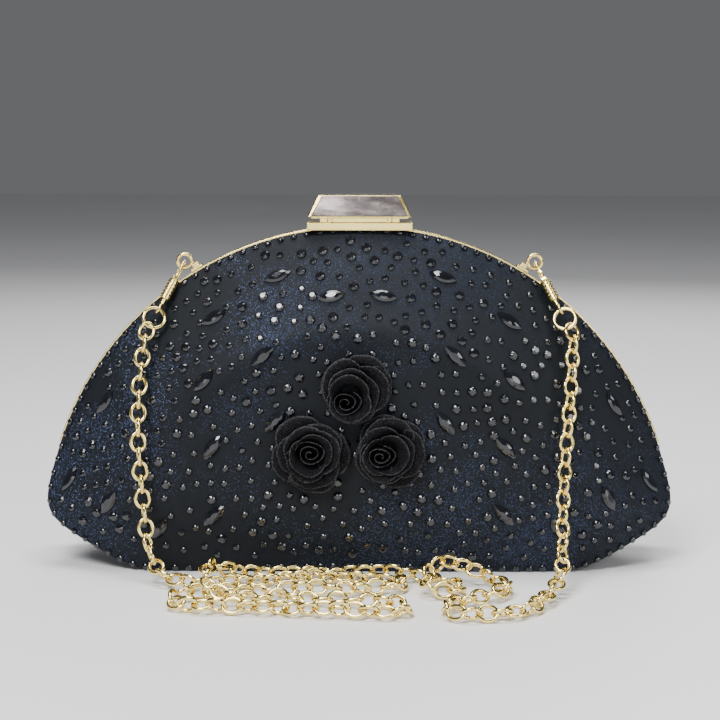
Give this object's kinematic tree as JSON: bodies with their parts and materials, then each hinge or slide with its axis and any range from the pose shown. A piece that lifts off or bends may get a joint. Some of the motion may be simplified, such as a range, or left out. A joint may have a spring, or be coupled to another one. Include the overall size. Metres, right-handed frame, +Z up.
{
  "type": "evening bag",
  "caption": "Half-moon hard-shell evening bag with an arched gold hinge frame, press clasp, fabric roses, scattered dark stones and a chain on snap hooks.",
  "frame": {"origin": "centre of the flat base, on the surface that the bag stands on, in the parting plane of its two halves", "axes": "+X to the wearer's right along the frame's arc, +Y to the back, +Z up"},
  "size_m": [0.2204, 0.1182, 0.131],
  "materials": {
    "cover_fabric": "black glitter fabric, low sheen",
    "shell_board": "moulded board",
    "lining_satin": "satin",
    "gusset_fabric": "black fabric",
    "rose_chiffon": "fine open weave",
    "jet_stones": "faceted, glossy",
    "smoky_glass": "smoky mirror-backed glass",
    "steel": "spring steel",
    "frame_gold": "pale gold plate, polished",
    "chain_gold": "pale gold plate, polished"
  },
  "bodies": {
    "front": {"front_frame": "frame_gold", "hinge_pins": "frame_gold", "front_shell": "shell_board", "front_cover": "cover_fabric", "front_lining": "lining_satin", "base_gusset": "gusset_fabric", "left_side_gusset": "gusset_fabric", "right_side_gusset": "gusset_fabric", "left_inner_gusset": "lining_satin", "right_inner_gusset": "lining_satin", "clasp_base": "frame_gold", "clasp_springs": "steel", "left_ear": "frame_gold", "right_ear": "frame_gold", "rose_top": "rose_chiffon", "rose_left": "rose_chiffon", "rose_right": "rose_chiffon", "front_navettes": "jet_stones", "front_round_stones": "jet_stones", "chain_left_drop": "chain_gold", "chain_heap": "chain_gold", "chain_right_drop": "chain_gold"},
    "rear": {"rear_frame": "frame_gold", "rear_shell": "shell_board", "rear_cover": "cover_fabric", "rear_lining": "lining_satin", "slip_pocket": "lining_satin", "catch_base": "frame_gold", "catch_tongue": "frame_gold", "rear_navettes": "jet_stones", "rear_round_stones": "jet_stones"},
    "clasp": {"clasp_ingot": "frame_gold", "clasp_crystals": "smoky_glass"},
    "left_hook": {"left_hook": "frame_gold"},
    "right_hook": {"right_hook": "frame_gold"},
    "left_gate": {"left_gate": "frame_gold"},
    "right_gate": {"right_gate": "frame_gold"},
    "left_swivel": {"left_swivel_eye": "frame_gold", "left_ring": "chain_gold"},
    "right_swivel": {"right_swivel_eye": "frame_gold", "right_ring": "chain_gold"}
  },
  "joints": [
    {"name": "frame_hinge", "type": "hinge", "parent": "front", "child": "rear", "pos_m": [0, 0, 0.0376], "axis": [-1, 0, 0], "range_deg": [0, 42], "deforming": ["base_gusset", "left_side_gusset", "right_side_gusset", "left_inner_gusset", "right_inner_gusset"]},
    {"name": "clasp_press", "type": "slide", "parent": "front", "child": "clasp", "axis": [0, 0, -1], "range_m": [0, 0.0012], "stiffness_N_per_m": 1500, "springref_m": -0.0008, "deforming": ["clasp_springs"]},
    {"name": "right_hook_swing", "type": "hinge", "parent": "front", "child": "right_hook", "pos_m": [0.06284, -0.0042, 0.10515], "axis": [-0.891, 0, -0.454], "range_deg": [0, 80]},
    {"name": "left_hook_swing", "type": "hinge", "parent": "front", "child": "left_hook", "pos_m": [-0.06284, -0.0042, 0.10515], "axis": [-0.891, 0, 0.454], "range_deg": [0, 80]},
    {"name": "right_gate_open", "type": "hinge", "parent": "right_hook", "child": "right_gate", "pos_m": [0.06427, -0.00837, 0.10233], "axis": [-0.891, 0, -0.454], "range_deg": [0, 20], "stiffness_Nm_per_rad": 0.004},
    {"name": "left_gate_open", "type": "hinge", "parent": "left_hook", "child": "left_gate", "pos_m": [-0.06427, -0.00837, 0.10233], "axis": [-0.891, 0, 0.454], "range_deg": [0, 20], "stiffness_Nm_per_rad": 0.004},
    {"name": "right_swivel_turn", "type": "hinge", "parent": "right_hook", "child": "right_swivel", "pos_m": [0.06885, -0.01124, 0.09335], "axis": [0.4008, -0.4695, -0.7867], "continuous": true},
    {"name": "left_swivel_turn", "type": "hinge", "parent": "left_hook", "child": "left_swivel", "pos_m": [-0.06885, -0.01124, 0.09335], "axis": [0.4008, 0.4695, 0.7867], "continuous": true}
  ]
}
